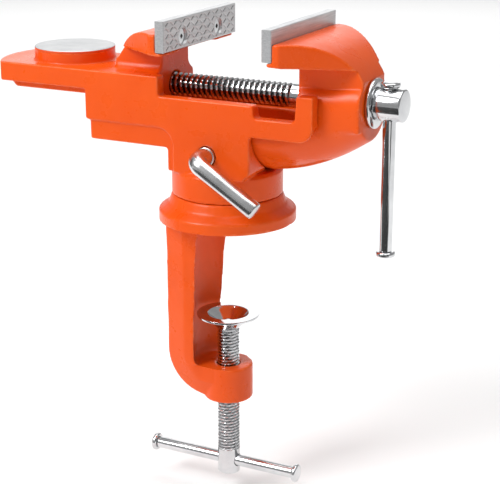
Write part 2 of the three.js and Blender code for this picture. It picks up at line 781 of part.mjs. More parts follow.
place('spindle', spindle(), CHROME);
place('thrust_washer', thrustWasher(), CHROME);
place('retaining_screw', retainingScrew(), BLACK);
const spindleBarZ = SPINDLE_Z + HEAD_R + BAR_CAP_LENGTH - SPINDLE_BAR_LENGTH / 2;
const spindleBarAt = [SPINDLE_BAR_X, 0, spindleBarZ];
const spindleBarShape = (profile) => turnedZ(profile, 0, 0, 24).translate(spindleBarAt);
place('spindle_bar', spindleBarShape(barProfile(SPINDLE_BAR_LENGTH)), CHROME);
place('spindle_bar_cap_bottom', spindleBarShape(capProfile(SPINDLE_BAR_LENGTH, -1)), CHROME);
place('spindle_bar_cap_top', spindleBarShape(capProfile(SPINDLE_BAR_LENGTH, 1)), CHROME);

export default vise;
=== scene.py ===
"""Bench vise with an anvil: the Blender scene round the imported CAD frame.

Metres, +Z up, the same frame as the CAD model: origin at the middle of the
swivel flange's underside, +X towards the main screw's handle.
"""
import json
import math

import bpy
import bmesh
import numpy as np
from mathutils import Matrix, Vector


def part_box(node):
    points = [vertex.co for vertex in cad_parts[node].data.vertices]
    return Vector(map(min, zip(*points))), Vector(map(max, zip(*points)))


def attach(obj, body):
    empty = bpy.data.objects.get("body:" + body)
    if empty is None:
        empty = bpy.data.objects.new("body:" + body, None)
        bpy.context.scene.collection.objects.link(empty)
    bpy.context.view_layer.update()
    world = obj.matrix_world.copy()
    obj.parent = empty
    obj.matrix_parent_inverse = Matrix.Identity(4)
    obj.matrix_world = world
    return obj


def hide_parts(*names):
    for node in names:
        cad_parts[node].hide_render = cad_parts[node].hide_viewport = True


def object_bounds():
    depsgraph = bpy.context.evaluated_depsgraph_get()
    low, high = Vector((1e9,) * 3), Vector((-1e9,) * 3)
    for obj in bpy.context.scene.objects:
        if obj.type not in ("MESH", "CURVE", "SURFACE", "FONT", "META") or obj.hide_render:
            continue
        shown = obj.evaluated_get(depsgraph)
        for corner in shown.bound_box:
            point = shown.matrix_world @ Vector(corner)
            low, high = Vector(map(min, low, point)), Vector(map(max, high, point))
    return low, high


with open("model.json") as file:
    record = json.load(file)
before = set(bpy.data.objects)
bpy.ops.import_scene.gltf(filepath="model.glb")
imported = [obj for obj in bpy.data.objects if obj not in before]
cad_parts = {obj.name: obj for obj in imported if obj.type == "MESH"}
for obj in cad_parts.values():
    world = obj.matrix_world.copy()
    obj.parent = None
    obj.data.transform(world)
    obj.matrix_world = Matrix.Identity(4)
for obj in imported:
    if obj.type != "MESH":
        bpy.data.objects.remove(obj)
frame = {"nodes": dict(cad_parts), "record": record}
cad_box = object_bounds()

MM = 0.001
NODES = frame["nodes"]
SCENE = bpy.context.scene


# ---- driving sizes, in millimetres, read from the frame where it has them ----
def low(node):
    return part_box(node)[0] / MM


def high(node):
    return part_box(node)[1] / MM


FIXED_FACE = high("fixed_jaw_plate").x
FIXED_BACK = low("fixed_jaw_plate").x
MOVING_FACE = low("moving_jaw_plate").x
MOVING_BACK = high("moving_jaw_plate").x
PLATE_GAP = 0.3
JAW_HALF = high("fixed_jaw_plate").y
PLATE_BOTTOM = low("fixed_jaw_plate").z
PLATE_TOP = high("fixed_jaw_plate").z
PLATE_MIDDLE = (PLATE_BOTTOM + PLATE_TOP) / 2
PLATE_SCREW_Y = (high("fixed_jaw_screw_2").y + low("fixed_jaw_screw_2").y) / 2
PLATE_SCREW_Z = (high("fixed_jaw_screw_2").z + low("fixed_jaw_screw_2").z) / 2
PLATE_SCREW_LENGTH = high("fixed_jaw_screw_2").x - low("fixed_jaw_screw_2").x

HOOD_R = 33.5  # the hoods are arcs about a line along Y
HOOD_ARC_X = 6.6
HOOD_ARC_Z = 66

SPINDLE_Z = (low("spindle").z + high("spindle").z) / 2
SPINDLE_TIP = low("spindle").x
SPINDLE_END = high("spindle").x
SPINDLE_R = 6
HEAD_R = (high("spindle").z - low("spindle").z) / 2
THREAD_END = 37.5  # the main screw is threaded up to here
SPINDLE_PITCH = 3
BARREL_FRONT = 80.4

ANVIL_R = 21.5
ANVIL_SKIN = 1.2  # thickness of the ground disc
MOUNTS = {mount["name"]: mount["pos_m"] for mount in frame["record"]["mounts"]}
ANVIL_X = MOUNTS["anvil_face"][0] / MM
ANVIL_TOP = MOUNTS["anvil_face"][2] / MM
ANVIL_SEAT = ANVIL_TOP - ANVIL_SKIN - 0.1  # the casting ends here, just under the disc
TABLE_END_R = 40  # the anvil table's round end

BASE_R = high("clamp_frame").x
NECK_R = 29
THROAT_R = 19.7
BOSS_R = 13.2
BOSS_TOP = -82.4
BOSS_BOTTOM = low("clamp_frame").z

BAR_R = (high("spindle_bar").x - low("spindle_bar").x) / 2
BAR_CAP_R = (high("spindle_bar_cap_top").x - low("spindle_bar_cap_top").x) / 2
BAR_CAP_LENGTH = 3.3
BAR_CLEARANCE = 0.3
MAIN_BAR_HALF = (high("spindle_bar_cap_top").z - low("spindle_bar_cap_bottom").z) / 2
BENCH_BAR_HALF = (high("clamp_bar_cap_right").x - low("clamp_bar_cap_left").x) / 2

CLAMP_PITCH = 1.75
CLAMP_SCREW_R = 6
BOSS_BORE_R = CLAMP_SCREW_R + 0.3


# ---- small kit of mesh tools -------------------------------------------------
def new_piece(name, mesh, body, slot, material, *replaced):
    """A finished piece: an object on a body, with its material and what it stands for."""
    piece = bpy.data.objects.new(name, mesh)
    SCENE.collection.objects.link(piece)
    mesh.materials.clear()
    mesh.materials.append(material)
    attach(piece, body)
    if replaced:
        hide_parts(*replaced)


def smooth_shading(mesh, sharp_degrees):
    """Smooth shading, with sharp edges where faces meet at more than an angle."""
    mesh.polygons.foreach_set("use_smooth", [True] * len(mesh.polygons))
    mesh.set_sharp_from_angle(angle=math.radians(sharp_degrees))
    mesh.update()


def mesh_from(name, points, faces):
    """Mesh from points in millimetres, wound outwards."""
    mesh = bpy.data.meshes.new(name)
    mesh.from_pydata([(x * MM, y * MM, z * MM) for x, y, z in points], [], faces)
    work = bmesh.new()
    work.from_mesh(mesh)
    bmesh.ops.remove_doubles(work, verts=work.verts, dist=1e-7)
    bmesh.ops.recalc_face_normals(work, faces=work.faces)
    work.to_mesh(mesh)
    work.free()
    return mesh


def with_modifier(mesh, kind, **settings):
    """The mesh after one modifier."""
    carrier = bpy.data.objects.new("carrier", mesh)
    SCENE.collection.objects.link(carrier)
    modifier = carrier.modifiers.new("step", kind)
    for key, value in settings.items():
        setattr(modifier, key, value)
    graph = bpy.context.evaluated_depsgraph_get()
    done = bpy.data.meshes.new_from_object(carrier.evaluated_get(graph))
    bpy.data.objects.remove(carrier)
    return done


def cut(mesh, tool_mesh):
    """The mesh with the tool's volume taken away."""
    tool = bpy.data.objects.new("tool", tool_mesh)
    SCENE.collection.objects.link(tool)
    done = with_modifier(mesh, "BOOLEAN", operation="DIFFERENCE", solver="EXACT", object=tool)
    bpy.data.objects.remove(tool)
    return done


EASE_STEPS = 4


def eased(outline, sizes):
    """Outline whose corners become short curves; sizes maps a corner's index to its size."""
    points = []
    for i, corner in enumerate(outline):
        here = Vector(corner)
        size = sizes.get(i, 0)
        if size == 0 or i in (0, len(outline) - 1):
            points.append(tuple(here))
            continue
        before = Vector(outline[i - 1]) - here
        after = Vector(outline[i + 1]) - here
        start = here + before.normalized() * min(size, before.length * 0.48)
        end = here + after.normalized() * min(size, after.length * 0.48)
        for k in range(EASE_STEPS + 1):
            t = k / EASE_STEPS
            points.append(tuple(start * (1 - t) ** 2 + here * 2 * t * (1 - t) + end * t * t))
    return points


def turned(name, outline, axis, centre, sides, radius_at=None):
    """Solid of revolution. The outline is (radius, height) along the axis; it starts and ends
    on the axis, or closes on itself. radius_at(radius, height, angle) may change a radius."""
    points = []
    rings = []
    for r, h in outline:
        ring = []
        count = 1 if r < 1e-6 else sides
        for k in range(count):
            a = 2 * math.pi * k / sides
            radius = radius_at(r, h, a) if radius_at and r > 1e-6 else r
            u = radius * math.cos(a)
            v = radius * math.sin(a)
            local = {"X": (h, u, v), "Y": (v, h, u), "Z": (u, v, h)}[axis]
            ring.append(len(points))
            points.append(tuple(p + c for p, c in zip(local, centre)))
        rings.append(ring)
    if len(rings[0]) > 1:
        rings.append(rings[0])
    faces = []
    for a, b in zip(rings, rings[1:]):
        for k in range(sides):
            n = (k + 1) % sides
            if len(a) == 1 and len(b) == 1:
                break
            if len(a) == 1:
                faces.append((a[0], b[k], b[n]))
            elif len(b) == 1:
                faces.append((a[k], a[n], b[0]))
            else:
                faces.append((a[k], a[n], b[n], b[k]))
    return mesh_from(name, points, faces)


def rod(name, radius, bottom, top, axis, centre, sides=48):
    """Plain rod between two heights, as a tool to cut with; six sides make a key socket."""
    outline = [(0, bottom), (radius, bottom), (radius, top), (0, top)]
    return turned(name, outline, axis, centre, sides)


# ---- castings ----------------------------------------------------------------
VOXEL = 0.6
CAST_EDGE_ROUNDS = 14
CAST_SOFT_ROUNDS = 2
ALL = (-1000, 1000)  # a region's range that limits nothing


def positions(mesh):
    """Vertex positions in millimetres."""
    co = np.empty(len(mesh.vertices) * 3)
    mesh.vertices.foreach_get("co", co)
    return co.reshape(-1, 3) / MM


def set_positions(mesh, co):
    mesh.vertices.foreach_set("co", (co * MM).ravel())
    mesh.update()


def edge_ends(mesh):
    """The first and the second vertex of every edge."""
    edges = np.empty(len(mesh.edges) * 2, dtype=np.int64)
    mesh.edges.foreach_get("vertices", edges)
    return edges.reshape(-1, 2).T


def neighbours(co, a, b):
    """The middle of each vertex's neighbours along the edges from a to b, and their number."""
    total = np.zeros_like(co)
    for axis in range(3):
        total[:, axis] += np.bincount(a, co[b, axis], len(co))
        total[:, axis] += np.bincount(b, co[a, axis], len(co))
    count = np.bincount(np.concatenate([a, b]), minlength=len(co))
    return total / np.maximum(count, 1)[:, None], count


def within(co, region):
    """Which points lie in a region ((x, x), (y, y), (z, z))."""
    inside = np.ones(len(co), dtype=bool)
    for axis, (start, end) in enumerate(region):
        inside &= (co[:, axis] > start) & (co[:, axis] < end)
    return inside


def relax(mesh, rounds, weight=None):
    """Moves every vertex towards its neighbours; weight says how much, from 0 to 1."""
    a, b = edge_ends(mesh)
    co = positions(mesh)
    share = 0.5 if weight is None else 0.5 * weight[:, None]
    for _ in range(rounds):
        co += share * (neighbours(co, a, b)[0] - co)
    set_positions(mesh, co)


def straighten_edges(mesh, rounds, region=(ALL, ALL, ALL), bend=0.09):
    """Evens out the mesh's sharp edges inside a region. A vertex counts as on an edge where it
    stands off its neighbours' middle by more than bend, and it moves only towards those of its
    neighbours that are on the edge too."""
    a, b = edge_ends(mesh)
    co = positions(mesh)
    middle, _ = neighbours(co, a, b)
    on_edge = np.linalg.norm(middle - co, axis=1) > bend
    on_edge &= within(co, region)
    both = on_edge[a] & on_edge[b]
    a = a[both]
    b = b[both]
    for _ in range(rounds):
        middle, count = neighbours(co, a, b)
        move = count > 1
        co[move] += 0.5 * (middle - co)[move]
    set_positions(mesh, co)


def make_round(mesh, axis, centre, radius, region, reach=0.2):
    """Puts the vertices in a region that lie within reach of a cylinder exactly on it."""
    co = positions(mesh)
    across = [k for k in range(3) if k != "XYZ".index(axis)]
    off = co[:, across] - np.array(centre)
    distance = np.hypot(off[:, 0], off[:, 1])
    inside = (np.abs(distance - radius) < reach) & within(co, region)
    scale = (radius / distance[inside])[:, None]
    flat = co[inside]
    flat[:, across] = np.array(centre) + off[inside] * scale
    co[inside] = flat
    set_positions(mesh, co)


def smoothstep(t):
    t = np.clip(t, 0, 1)
    return t * t * (3 - 2 * t)


def cast_mesh(node):
    """The CAD node's mesh with the soft edges and fillets of a sand casting."""
    fine = with_modifier(NODES[node].data.copy(), "REMESH", mode="VOXEL", voxel_size=VOXEL * MM)
    relax(fine, 1)
    straighten_edges(fine, CAST_EDGE_ROUNDS)
    relax(fine, CAST_SOFT_ROUNDS)
    return fine


ARM_EDGE_X = (-17, -4)  # where the arm's two long inner edges run, one on each side
ARM_EDGE_Y = ((-20, -8), (8, 20))
ARM_EDGE_Z = (-79, -1)
ELBOW_X = -8  # the arm's elbow is rounded more, from here outwards and downwards
ELBOW_Z = -52
FLANGE_EDGE = ((-10, 40), ALL, (-1, 1))  # the flange's lower edge, clear of the arm
FLANGE_SPAN = (-0.2, 5.2)
BLEND_START = -16  # the arm narrows to the boss from here
BLEND_LENGTH = 8


def run_into_boss(mesh):
    """Narrows the arm's end to the boss, so that it meets it without a step."""
    co = positions(mesh)
    at_boss = (co[:, 2] < BOSS_TOP + 0.5) & (co[:, 0] > BLEND_START)
    wide = np.hypot(np.maximum(co[:, 0], 0), co[:, 1])
    narrower = np.where(wide > BOSS_R, BOSS_R / np.maximum(wide, 1), 1)
    share = np.where(at_boss, smoothstep((co[:, 0] - BLEND_START) / BLEND_LENGTH), 0)
    scale = 1 + (narrower - 1) * share
    co[:, 1] *= scale
    co[:, 0] = np.where(co[:, 0] > 0, co[:, 0] * scale, co[:, 0])
    set_positions(mesh, co)


def clamp_frame_mesh():
    """Swivel flange, C-shaped bench arm and the boss that the bench screw turns in."""
    mesh = cast_mesh("clamp_frame")
    co = positions(mesh)
    for side in ARM_EDGE_Y:
        straighten_edges(mesh, 150, (ARM_EDGE_X, side, ARM_EDGE_Z), bend=0.05)
    elbow = smoothstep((ELBOW_Z - co[:, 2]) / 6) * smoothstep((ELBOW_X - co[:, 0]) / 6)
    relax(mesh, 5, elbow * 0.9)
    straighten_edges(mesh, 40, FLANGE_EDGE, bend=0.05)
    make_round(mesh, "Z", (0, 0), BASE_R, (ALL, ALL, FLANGE_SPAN), reach=0.5)
    make_round(mesh, "Z", (0, 0), THROAT_R, (ALL, ALL, (BOSS_TOP + 5, -1)))
    run_into_boss(mesh)
    make_round(mesh, "Z", (0, 0), BOSS_R, ((-6, 20), ALL, (BOSS_BOTTOM + 1, BOSS_TOP - 1)))
    make_round(mesh, "Z", (0, 0), BOSS_BORE_R, (ALL, ALL, (BOSS_BOTTOM, BOSS_TOP)))
    smooth_shading(mesh, 60)
    return mesh


NECK_SPAN = (15, 27)
ANVIL_SPAN = (77.5, ANVIL_TOP - 1)
TABLE_END_X = (-140, -110)
TABLE_SPAN = (67.5, 76)
HOOD_DEPTH = 45  # the hoods' arcs end this far behind the jaw plates


def fixed_body_mesh():
    """The body with the fixed jaw, the slide, the anvil and the swivel neck."""
    mesh = cast_mesh("fixed_body")
    back = FIXED_BACK - PLATE_GAP
    make_round(mesh, "Z", (0, 0), NECK_R, (ALL, ALL, NECK_SPAN))
    make_round(mesh, "Z", (ANVIL_X, 0), ANVIL_R, (ALL, ALL, ANVIL_SPAN))
    co = positions(mesh)
    under_skin = np.hypot(co[:, 0] - ANVIL_X, co[:, 1]) < ANVIL_R + 1
    under_skin &= co[:, 2] > ANVIL_SEAT
    co[under_skin, 2] = ANVIL_SEAT
    set_positions(mesh, co)
    make_round(mesh, "Z", (ANVIL_X, 0), TABLE_END_R, (TABLE_END_X, ALL, TABLE_SPAN))
    hood = ((back - HOOD_DEPTH, back - 1), ALL, (77, 100))
    make_round(mesh, "Y", (back - HOOD_ARC_X, HOOD_ARC_Z), HOOD_R, hood)
    smooth_shading(mesh, 60)
    return mesh


BARREL_BACK = 27  # the barrel's soft form starts here
BARREL_TOP = 76
CHANNEL_HALF = 8.5  # what lies this near the main screw along Y, or twice it along Z, stays
PARTING_X = 47.7  # the parting line on the sliding jaw's flank is a curve through this point
PARTING_Z = 39
PARTING_STEP = 0.8
PARTING_START = 28
FLANK_Y = 14.6  # the step below the line is on the flanks, outside this
BELLY_Z = 38.5  # and on all of the belly below this


def parting_line(x):
    """Height of the casting's parting line on the flank of the sliding jaw."""
    return PARTING_Z + 0.118 * (x - PARTING_X) + 0.0085 * (x - PARTING_X) ** 2


def soften_barrel(mesh):
    """Relaxes the barrel's outside and leaves the channel round the main screw as it is."""
    co = positions(mesh)
    soft = smoothstep((co[:, 0] - BARREL_BACK) / 3)
    soft *= smoothstep((BARREL_FRONT - 1.5 - co[:, 0]) / 1.5)
    soft *= smoothstep((BARREL_TOP - co[:, 2]) / 3)
    outside = np.hypot(co[:, 1], (co[:, 2] - SPINDLE_Z) * 0.5) > CHANNEL_HALF
    relax(mesh, 40, soft * outside)


def step_below_parting(mesh):
    """Below the parting line the pattern's lower half stands back a little."""
    co = positions(mesh)
    below = smoothstep((parting_line(co[:, 0]) - co[:, 2]) / 0.7)
    reach = smoothstep((co[:, 0] - PARTING_START) / 4) * smoothstep(co[:, 2] - 20)
    normals = np.empty(len(mesh.vertices) * 3)
    mesh.vertices.foreach_get("normal", normals)
    normals = normals.reshape(-1, 3)
    facing = smoothstep((0.9 - normals[:, 2]) / 0.5) * (np.abs(co[:, 1]) > 3)
    shell = np.abs(co[:, 1]) > FLANK_Y
    shell |= co[:, 2] < BELLY_Z
    co -= normals * (PARTING_STEP * below * reach * facing * shell)[:, None]
    set_positions(mesh, co)


def moving_jaw_mesh():
    """The sliding jaw with its beam and its barrel."""
    mesh = cast_mesh("moving_jaw")
    back = MOVING_BACK + PLATE_GAP
    soften_barrel(mesh)
    hood = ((back + 1, back + HOOD_DEPTH), ALL, (72, 100))
    make_round(mesh, "Y", (back + HOOD_ARC_X, HOOD_ARC_Z), HOOD_R, hood)
    step_below_parting(mesh)
    smooth_shading(mesh, 60)
    return mesh


# ---- jaw plates --------------------------------------------------------------
HATCH_Y = 4.3  # half the repeat along the jaw
HATCH_Z = 3.0
HATCH_ANGLE = math.radians(33)
HATCH_STROKE = 1.5  # half a stroke's length
HATCH_DEPTH = 0.4
HATCH_WIDTH = 0.34
HATCH_MARGIN = 0.9  # the pattern stays this far from the plate's edges
PLATE_STEP = 0.22
PLATE_EDGE = 0.35  # broken edge
SINK_RIM_R = 4.3  # the countersink: its rim, then a short wall down to its cone
SINK_CONE_R = 4.1
SINK_CLEAR_R = 4.6  # no pattern inside this
SINK_WALL = 0.8
SINK_DEPTH = 2.8


def store_groove(mesh, values):
    """Keeps for each vertex how deep it lies in a cut, which the steel's shading reads."""
    mesh.attributes.new("groove", "FLOAT", "POINT").data.foreach_set("value", values)


def hatch_depth(y, z):
    """Depth of the gripping pattern: short strokes that lean one way, then the other."""
    depth = np.zeros_like(y)
    i0 = np.round(y / HATCH_Y)
    j0 = np.round(z / HATCH_Z)
    for di in (-1, 0, 1):
        for dj in (-1, 0, 1):
            i = i0 + di
            j = j0 + dj
            lean = np.where((i + j) % 2 == 0, 1.0, -1.0)
            dy = y - i * HATCH_Y
            dz = z - j * HATCH_Z
            along = dy * math.cos(HATCH_ANGLE) + dz * lean * math.sin(HATCH_ANGLE)
            across = -dy * math.sin(HATCH_ANGLE) * lean + dz * math.cos(HATCH_ANGLE)
            side = 1 - smoothstep(np.abs(across) / HATCH_WIDTH - 0.4)
            end = 1 - smoothstep((np.abs(along) - HATCH_STROKE) / 0.4)
            depth = np.maximum(depth, side * end * np.where(lean > 0, 1, 0.5))
    return depth * HATCH_DEPTH


def plate_face(face, inward):
    """The hatched and countersunk face as grids of x, y and z."""
    ny = round(2 * (JAW_HALF - PLATE_EDGE) / PLATE_STEP)
    nz = round((PLATE_TOP - PLATE_BOTTOM - 2 * PLATE_EDGE) / PLATE_STEP)
    ys = np.linspace(-JAW_HALF + PLATE_EDGE, JAW_HALF - PLATE_EDGE, ny + 1)
    zs = np.linspace(PLATE_BOTTOM + PLATE_EDGE, PLATE_TOP - PLATE_EDGE, nz + 1)
    y, z = np.meshgrid(ys, zs, indexing="ij")
    depth = hatch_depth(y, z - PLATE_MIDDLE)
    margin = np.minimum(JAW_HALF - np.abs(y), np.minimum(z - PLATE_BOTTOM, PLATE_TOP - z))
    depth *= smoothstep((margin - HATCH_MARGIN) / 0.4)
    for sign in (-1, 1):
        dy = y - sign * PLATE_SCREW_Y
        dz = z - PLATE_SCREW_Z
        d = np.hypot(dy, dz)
        # the grid's points near the two rims move onto them
        for rim in (SINK_RIM_R, SINK_CONE_R):
            near = np.abs(d - rim) < PLATE_STEP / 2
            scale = np.where(near, rim / np.maximum(d, 1e-6), 1)
            y = np.where(near, sign * PLATE_SCREW_Y + dy * scale, y)
            z = np.where(near, PLATE_SCREW_Z + dz * scale, z)
        depth = np.where(d < SINK_CLEAR_R, 0, depth)
        cone = SINK_WALL + (SINK_CONE_R - np.minimum(d, SINK_CONE_R))
        in_sink = d < (SINK_CONE_R + SINK_RIM_R) / 2
        depth = np.maximum(depth, np.where(in_sink, np.minimum(cone, SINK_DEPTH), 0))
    return face + inward * depth, y, z


def jaw_plate_mesh(name, face, back):
    """Steel plate with a hatched face, two countersunk holes and broken edges."""
    inward = math.copysign(1, back - face)
    x, y, z = plate_face(face, inward)
    points = [tuple(p) for p in np.stack([x, y, z], -1).reshape(-1, 3)]
    index = np.arange(len(points)).reshape(x.shape)
    faces = []
    for i in range(x.shape[0] - 1):
        for j in range(x.shape[1] - 1):
            faces.append((index[i, j], index[i + 1, j], index[i + 1, j + 1], index[i, j + 1]))

    # the sides and the back are rings that follow the face's border
    border = [*index[:, 0], *index[-1, 1:], *index[-2::-1, -1], *index[0, -2:0:-1]]
    half_height = (PLATE_TOP - PLATE_BOTTOM) / 2
    loops = [border]
    for inset, at in (
        (0.0, face + inward * PLATE_EDGE),
        (0.0, back - inward * PLATE_EDGE),
        (PLATE_EDGE, back),
    ):
        sy = (JAW_HALF - inset) / (JAW_HALF - PLATE_EDGE)
        sz = (half_height - inset) / (half_height - PLATE_EDGE)
        loop = []
        for k in border:
            _, py, pz = points[k]
            loop.append(len(points))
            points.append((at, py * sy, PLATE_MIDDLE + (pz - PLATE_MIDDLE) * sz))
        loops.append(loop)
    for a, b in zip(loops, loops[1:]):
        for k in range(len(a)):
            n = (k + 1) % len(a)
            faces.append((a[k], a[n], b[n], b[k]))
    faces.append(tuple(loops[-1]))
    points = [tuple(map(float, p)) for p in points]
    mesh = mesh_from(name, points, [tuple(map(int, f)) for f in faces])

    co = positions(mesh)
    height = co[:, 2] - PLATE_MIDDLE
    sunk = np.abs(co[:, 0] - face)
    in_stroke = (hatch_depth(co[:, 1], height) > 0.02) & (sunk < HATCH_DEPTH + 0.02)
    inner = (np.abs(co[:, 1]) < JAW_HALF - 0.8) & (np.abs(height) < half_height - 0.8)
    store_groove(mesh, np.where(in_stroke, sunk / HATCH_DEPTH, 0) * inner)
    smooth_shading(mesh, 30)
    return mesh


def plate_screw_mesh(name, face, inward, y):
    """Countersunk screw with a small key socket."""
    def at(depth):
        return face + inward * depth

    outline = [
        (0, at(1)), (3.8, at(1)), (3.8, at(1.2)), (2, at(3)),
        (2, at(PLATE_SCREW_LENGTH + 0.2)), (0, at(PLATE_SCREW_LENGTH + 1)),
    ]
    mesh = turned(name, eased(outline, {1: 0.15, 2: 0.1, 4: 0.4}), "X", (0, y, PLATE_SCREW_Z), 48)
    socket_low, socket_high = sorted((at(0), at(2.4)))
    mesh = cut(mesh, rod("key", 1.35, socket_low, socket_high, "X", (0, y, PLATE_SCREW_Z), 6))
    smooth_shading(mesh, 35)
    return mesh


# ---- screws and bars ---------------------------------------------------------
def thread_wave(phase, crest, flank):
    """0 on a crest and 1 in a root, for a phase in turns."""
    t = np.abs((phase % 1.0) - 0.5) * 2
    return float(smoothstep((t - crest) / flank))


def mark_roots(mesh, across, centre, crest_radius, depth, root_shade):
    """Stores how deep each vertex lies in the thread, times how much painted shade its roots get. The
    thread's axis runs through centre, given on the two axes that are across it."""
    off = positions(mesh)[:, across] - np.array(centre)
    sunk = crest_radius - np.hypot(off[:, 0], off[:, 1])
    inside = (sunk > 0) & (sunk < depth * 1.05)
    store_groove(mesh, root_shade * sunk / depth * inside)


def stations(start, end, step):
    """Evenly spaced places from start to end, about a step apart."""
    count = max(1, round(abs(end - start) / step))
    return [start + (end - start) * k / count for k in range(count + 1)]


def bar_hole(axis, centre):
    """The tool for the hole that a handle's bar slides in."""
    return rod("hole", BAR_R + BAR_CLEARANCE, -20, 20, axis, centre)


def spindle_mesh():
    """Main screw: thread, shank with the groove for the retaining screw, and head."""
    depth = 1.35

    def radius_at(r, h, a):
        if r > SPINDLE_R + 0.01 or h > THREAD_END + 0.5:
            return r
        fade = min(1, max(0, (THREAD_END + 0.5 - h) / 1.5)) * min(1, (h - SPINDLE_TIP) / 1.5)
        wave = thread_wave(h / SPINDLE_PITCH - a / (2 * math.pi), crest=0.34, flank=0.22)
        return r - depth * wave * fade

    shank = 5.85
    core = SPINDLE_R - 1.4  # at the tip's chamfer and in the retaining groove
    outline = [(0, SPINDLE_TIP), (core, SPINDLE_TIP)]
    outline += [(SPINDLE_R, h) for h in stations(SPINDLE_TIP + 1.4, THREAD_END + 0.5, 0.3)]
    outline += [(shank, 39), (shank, 61.5), (core, 61.6), (core, 65.4), (shank, 65.5)]
    head = [(shank, 82.9), (HEAD_R, 82.95), (HEAD_R, SPINDLE_END), (0, SPINDLE_END)]
    outline += eased(head, {1: 0.5, 2: 0.9})
    mesh = turned("main_screw", outline, "X", (0, 0, SPINDLE_Z), 64, radius_at)
    # full painted shade in the main screw's thread roots
    mark_roots(mesh, [1, 2], (0, SPINDLE_Z), SPINDLE_R, depth, root_shade=1.0)
    bar_x = (low("spindle_bar").x + high("spindle_bar").x) / 2
    mesh = cut(mesh, bar_hole("Z", (bar_x, 0, SPINDLE_Z)))
    smooth_shading(mesh, 32)
    return mesh


def clamp_screw_mesh():
    """Bench screw: head, thread, and the neck and rivet that hold the pad."""
    bottom = low("clamp_screw").z
    top = high("clamp_screw").z
    head_r = CLAMP_SCREW_R + 0.1
    head_top = -133.2
    thread_top = -62.9
    depth = 0.95

    def radius_at(r, h, a):
        if h < head_top + 0.1 or h > thread_top:
            return r
        fade = min(1, (h - head_top) / 1.2) * min(1, (thread_top - h) / 1.2)
        wave = thread_wave(h / CLAMP_PITCH - a / (2 * math.pi), crest=0.16, flank=0.6)
        return r - depth * wave * fade

    outline = eased([(0, bottom), (head_r, bottom), (head_r, head_top - 1)], {1: 0.8})
    outline += [(head_r, head_top), (CLAMP_SCREW_R, head_top + 0.15)]
    outline += [(CLAMP_SCREW_R, h) for h in stations(head_top + 0.3, thread_top, 0.21)]
    shoulder = thread_top + 0.8
    neck = 3.2
    rivet = 4.4
    outline += [(CLAMP_SCREW_R - 0.8, shoulder), (neck, shoulder), (neck, -59.7)]
    outline += eased([(neck, -59.5), (rivet, -59.4), (rivet, -58.6), (0, top)], {1: 0.3, 2: 0.6})
    mesh = turned("bench_screw", outline, "Z", (0, 0, 0), 64, radius_at)
    # less painted shade in the bench screw's thread roots
    mark_roots(mesh, [0, 1], (0, 0), CLAMP_SCREW_R, depth, root_shade=0.75)
    bar_z = (low("clamp_bar").z + high("clamp_bar").z) / 2
    mesh = cut(mesh, bar_hole("X", (0, 0, bar_z)))
    smooth_shading(mesh, 32)
    return mesh


def bar_mesh(name, axis, centre, half):
    """Handle bar with a thin spigot at each end for its button."""
    seat = half - BAR_CAP_LENGTH
    spigot = 2.2
    tip = half - 1
    outline = [(0, -tip), (spigot, -tip), (spigot, -seat), (BAR_R, -seat), (BAR_R, seat),
               (spigot, seat), (spigot, tip), (0, tip)]
    mesh = turned(name, eased(outline, {3: 0.2, 4: 0.2}), axis, centre, 48)
    smooth_shading(mesh, 35)
    return mesh


def bar_cap_mesh(name, axis, centre, half, side):
    """Upset end of a handle bar: a thick button with rolled edges."""
    def at(depth):
        return side * (half - depth)

    hole = 2.5
    floor = 0.72
    inner_end = BAR_CAP_LENGTH - 0.32
    outline = [
        (0, at(0)), (3.4, at(0.05)), (BAR_CAP_R, at(0.7)), (BAR_CAP_R, at(2.3)),
        (BAR_CAP_R - 0.7, at(inner_end)), (hole, at(inner_end)), (hole, at(floor)), (0, at(floor)),
    ]
    mesh = turned(name, eased(outline, {1: 0.7, 2: 0.6, 3: 0.6, 4: 0.4}), axis, centre, 48)
    smooth_shading(mesh, 50)
    return mesh


def thrust_washer_mesh():
    """Ring between the main screw's head and the barrel."""
    start = low("thrust_washer").x
    end = high("thrust_washer").x
    outer = high("thrust_washer").y
    inner = 6.15
    ease = 0.35
    outline = [
        (inner, start), (outer - ease, start), (outer, start + ease), (outer, end - ease),
        (outer - ease, end), (inner + ease, end), (inner, end - ease),
    ]
    mesh = turned("thrust_washer_turned", outline, "X", (0, 0, SPINDLE_Z), 72)
    smooth_shading(mesh, 50)
    return mesh


def clamp_pad_mesh():
    """Flared cup that turns on the screw's neck, with a flat rim and a deep bowl."""
    top = high("clamp_pad").z
    rim = high("clamp_pad").x
    outline = [
        (3.6, -61.8), (6.3, -61.8), (8.2, -60), (10.5, -57.6), (12.4, -56), (rim, -54.9), (rim, top),
        (11.1, top), (10.2, -55), (5.2, -59.9), (3.6, -60.1),
    ]
    eases = {1: 0.3, 2: 1.2, 3: 1.5, 4: 1.5, 5: 0.25, 6: 0.25, 7: 0.4, 8: 0.6, 9: 0.8}
    mesh = turned("bench_pad_cup", eased(outline, eases), "Z", (0, 0, 0), 96)
    smooth_shading(mesh, 50)
    return mesh


LEVER_DROP = math.radians(32)


